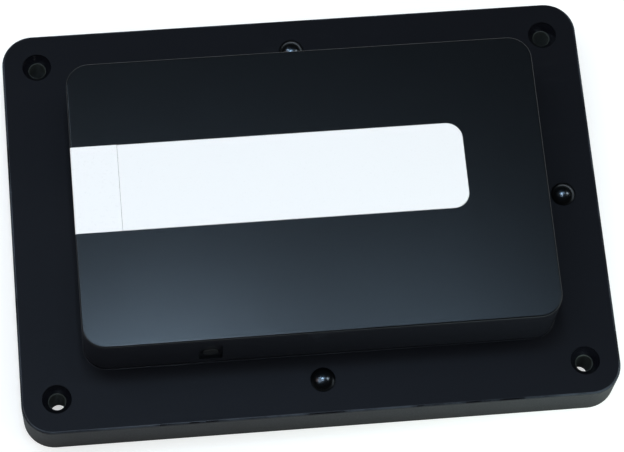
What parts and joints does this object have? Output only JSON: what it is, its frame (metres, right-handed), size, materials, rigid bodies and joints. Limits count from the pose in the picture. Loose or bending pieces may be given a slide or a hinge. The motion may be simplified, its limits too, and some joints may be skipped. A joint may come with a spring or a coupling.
{
  "type": "garage door controller",
  "caption": "Flanged black box for a wall or ceiling with a white band, a flashing-light window, a recessed link button, a power jack and push-in wire terminals at the back edge.",
  "frame": {"origin": "middle of the flat back, in the plane that meets the wall or ceiling", "axes": "+X along the long side, away from the flashing light; +Y up the front face, towards the jack and the terminals; +Z out of the front"},
  "size_m": [0.152, 0.109, 0.029],
  "materials": {
    "black_moulding": "satin moulded black plastic with a fine even texture",
    "light_window": "white translucent plastic, smooth",
    "white_trim": "glossy white plastic",
    "black_screw": "glossy black coating",
    "lamp_package": "white lamp package with a pale yellow cap",
    "white_reflector": "glossy white plastic",
    "button_plastic": "satin black plastic",
    "clear_pipe": "clear moulded plastic",
    "dark_plastic": "matt black plastic",
    "tinned_steel": "tinned sheet metal",
    "contact_metal": "plated brass",
    "terminal_plastic": "matt green plastic",
    "release_plastic": "matt orange plastic",
    "relay_plastic": "blue plastic",
    "piezo_brass": "brass disc with a ceramic layer",
    "board_laminate": "green solder mask",
    "header_plastic": "matt black plastic",
    "antenna_jacket": "black insulated wire",
    "board_screw_steel": "zinc plated steel",
    "chip_epoxy": "matt black epoxy",
    "can_sleeve": "sleeved aluminium can"
  },
  "bodies": {
    "controller": {"front_housing": "black_moulding", "back_plate": "black_moulding", "light_lens": "light_window", "trim_plate": "white_trim", "assembly_screws": "black_screw", "flash_lamps": "lamp_package", "status_lamp": "lamp_package", "lamp_reflector": "white_reflector", "status_light_pipe": "clear_pipe", "switch_body": "dark_plastic", "power_jack_body": "dark_plastic", "siren_case": "dark_plastic", "siren_base": "dark_plastic", "switch_frame": "tinned_steel", "radio_shield": "tinned_steel", "crystal": "tinned_steel", "power_jack_pin": "contact_metal", "power_jack_spring": "contact_metal", "contact_bars": "contact_metal", "terminal_block": "terminal_plastic", "relay_case": "relay_plastic", "relay_base": "relay_plastic", "siren_disc": "piezo_brass", "main_board": "board_laminate", "radio_board": "board_laminate", "radio_headers": "header_plastic", "antenna_wire": "antenna_jacket", "board_screws": "board_screw_steel", "processor_chip": "chip_epoxy", "driver_chips": "chip_epoxy", "voltage_regulator": "chip_epoxy", "power_inductor": "chip_epoxy", "chip_parts": "chip_epoxy", "capacitors": "can_sleeve"},
    "link_button": {"link_button": "button_plastic", "switch_plunger": "dark_plastic"},
    "release_left": {"release_button_left": "release_plastic", "clamp_leaf_left": "tinned_steel"},
    "release_right": {"release_button_right": "release_plastic", "clamp_leaf_right": "tinned_steel"}
  },
  "joints": [
    {"name": "link_button_press", "type": "slide", "parent": "controller", "child": "link_button", "axis": [0, 1, 0], "range_m": [0, 0.0005], "stiffness_N_per_m": 400, "springref_m": -0.001},
    {"name": "release_left_press", "type": "slide", "parent": "controller", "child": "release_left", "axis": [0, -1, 0], "range_m": [0, 0.0012], "stiffness_N_per_m": 500, "springref_m": -0.001},
    {"name": "release_right_press", "type": "slide", "parent": "controller", "child": "release_right", "axis": [0, -1, 0], "range_m": [0, 0.0012], "stiffness_N_per_m": 500, "springref_m": -0.001}
  ]
}
